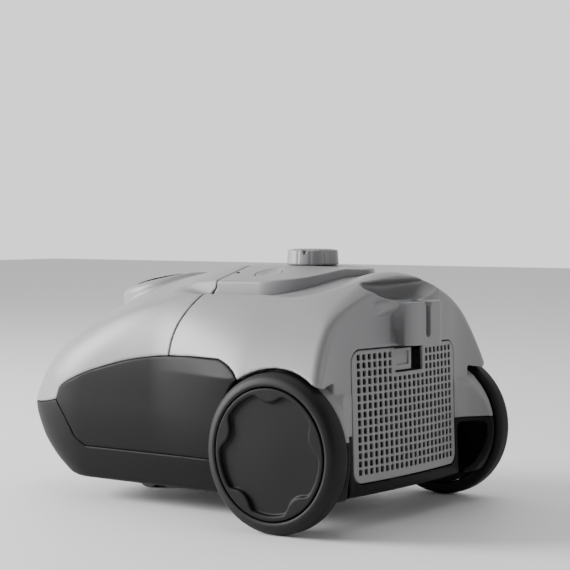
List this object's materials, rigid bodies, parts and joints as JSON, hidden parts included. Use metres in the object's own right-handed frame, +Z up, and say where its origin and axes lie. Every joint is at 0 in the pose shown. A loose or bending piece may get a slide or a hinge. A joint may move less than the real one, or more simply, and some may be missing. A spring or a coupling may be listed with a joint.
{
  "type": "canister vacuum cleaner",
  "caption": "Low bagged canister vacuum cleaner body on two large wheels and a caster, with hinged bag lid, hinged exhaust grille, control knob and parking slot.",
  "frame": {"origin": "middle of the outline on the floor, under the rear half of the body", "axes": "+Z up, +Y towards the rear with the exhaust grille, -Y towards the nose, +X the vacuum's left"},
  "size_m": [0.2994, 0.4285, 0.2402],
  "materials": {
    "light_shell": "satin, fine grain",
    "dark_shell": "satin",
    "black_plastic": "matt",
    "inner_plastic": "matt",
    "white_plastic": "matt",
    "rubber": "matt",
    "tyre": "satin",
    "steel": "brushed",
    "copper": "wound and varnished",
    "card": "matt card",
    "bag_paper": "matt",
    "filter_foam": "open foam",
    "board": "satin",
    "lamp": "clear tinted"
  },
  "bodies": {
    "body": {"lower_chassis": "dark_shell", "side_panel_left": "dark_shell", "side_panel_right": "dark_shell", "rear_housing": "light_shell", "parking_bracket": "light_shell", "control_deck": "light_shell", "lid_seal": "rubber", "bag_chamber": "inner_plastic", "bag_holder": "white_plastic", "bag_collar": "card", "dust_bag": "bag_paper", "filter_frame": "inner_plastic", "filter_foam": "filter_foam", "fan_shroud": "inner_plastic", "stator_can": "steel", "front_mount": "rubber", "rear_mount": "rubber", "exhaust_frame": "black_plastic", "exhaust_paper": "bag_paper", "reel_axle": "inner_plastic", "spring_case": "steel", "cord_outlet": "black_plastic", "potentiometer": "black_plastic", "control_board": "board", "power_lamp": "lamp", "axle_stub_left": "steel", "axle_stub_right": "steel", "axle_clip_left": "steel", "axle_clip_right": "steel", "base_screw_1": "steel", "base_screw_2": "steel", "base_screw_3": "steel", "base_screw_4": "steel"},
    "lid": {"bag_lid": "light_shell", "hose_socket": "black_plastic", "inlet_seal": "rubber"},
    "latch": {"lid_latch": "dark_shell"},
    "grille_door": {"exhaust_grille": "light_shell"},
    "grille_catch": {"grille_latch": "light_shell"},
    "power": {"power_button": "light_shell", "power_spring": "steel"},
    "rewind": {"rewind_button": "light_shell", "rewind_spring": "steel"},
    "knob": {"suction_knob": "light_shell"},
    "wheel_left": {"tyre_left": "tyre", "wheel_rim_left": "black_plastic", "hub_cap_left": "dark_shell"},
    "wheel_right": {"tyre_right": "tyre", "wheel_rim_right": "black_plastic", "hub_cap_right": "dark_shell"},
    "caster": {"caster_fork": "black_plastic", "caster_axle": "steel"},
    "caster_roller": {"caster_wheel": "rubber"},
    "rotor": {"impeller": "steel", "motor_shaft": "steel", "armature": "copper"},
    "reel": {"reel_drum": "inner_plastic"},
    "brake": {"brake_lever": "inner_plastic"},
    "brake_wheel": {"brake_roller": "rubber"}
  },
  "joints": [
    {"name": "lid_hinge", "type": "hinge", "parent": "body", "child": "lid", "pos_m": [0, 0.0297, 0.2252], "axis": [-1, 0, 0], "range_deg": [0, 70]},
    {"name": "lid_latch_press", "type": "slide", "parent": "lid", "child": "latch", "axis": [0, 1, 0], "range_m": [0, 0.003], "stiffness_N_per_m": 400, "springref_m": -0.002},
    {"name": "grille_hinge", "type": "hinge", "parent": "body", "child": "grille_door", "pos_m": [0, 0.1952, 0.039], "axis": [-1, 0, 0], "range_deg": [0, 75]},
    {"name": "grille_latch_bend", "type": "hinge", "parent": "grille_door", "child": "grille_catch", "pos_m": [0.00725, 0.1878, 0.1345], "axis": [-1, 0, 0], "range_deg": [0, 10], "stiffness_Nm_per_rad": 0.3, "springref_deg": -2.86},
    {"name": "power_press", "type": "slide", "parent": "body", "child": "power", "axis": [-0.2522, 0, -0.9677], "range_m": [0, 0.003], "stiffness_N_per_m": 400, "springref_m": -0.002},
    {"name": "rewind_press", "type": "slide", "parent": "body", "child": "rewind", "axis": [0.2522, 0, -0.9677], "range_m": [0, 0.003], "stiffness_N_per_m": 400, "springref_m": -0.002},
    {"name": "suction_turn", "type": "hinge", "parent": "body", "child": "knob", "pos_m": [0, 0.0859, 0.225], "axis": [0, 0, 1], "range_deg": [-135, 135]},
    {"name": "wheel_left_spin", "type": "hinge", "parent": "body", "child": "wheel_left", "pos_m": [0.138, 0.1453, 0.069], "axis": [1, 0, 0], "continuous": true},
    {"name": "wheel_right_spin", "type": "hinge", "parent": "body", "child": "wheel_right", "pos_m": [-0.138, 0.1453, 0.069], "axis": [1, 0, 0], "continuous": true},
    {"name": "caster_swivel", "type": "hinge", "parent": "body", "child": "caster", "pos_m": [0, -0.1167, 0.033], "axis": [0, 0, 1], "continuous": true},
    {"name": "caster_spin", "type": "hinge", "parent": "caster", "child": "caster_roller", "pos_m": [0, -0.1087, 0.014], "axis": [1, 0, 0], "continuous": true},
    {"name": "rotor_spin", "type": "hinge", "parent": "body", "child": "rotor", "pos_m": [0, 0.1053, 0.086], "axis": [0, 1, 0], "continuous": true},
    {"name": "reel_spin", "type": "hinge", "parent": "body", "child": "reel", "pos_m": [0, 0.1103, 0.167], "axis": [0, 0, 1], "continuous": true},
    {"name": "brake_swing", "type": "hinge", "parent": "body", "child": "brake", "pos_m": [0.083, 0.0673, 0.167], "axis": [0, 0, -1], "range_deg": [0, 8]},
    {"name": "brake_roller_spin", "type": "hinge", "parent": "brake", "child": "brake_wheel", "pos_m": [0.0752, 0.1271, 0.16], "axis": [0, 0, 1], "continuous": true}
  ]
}
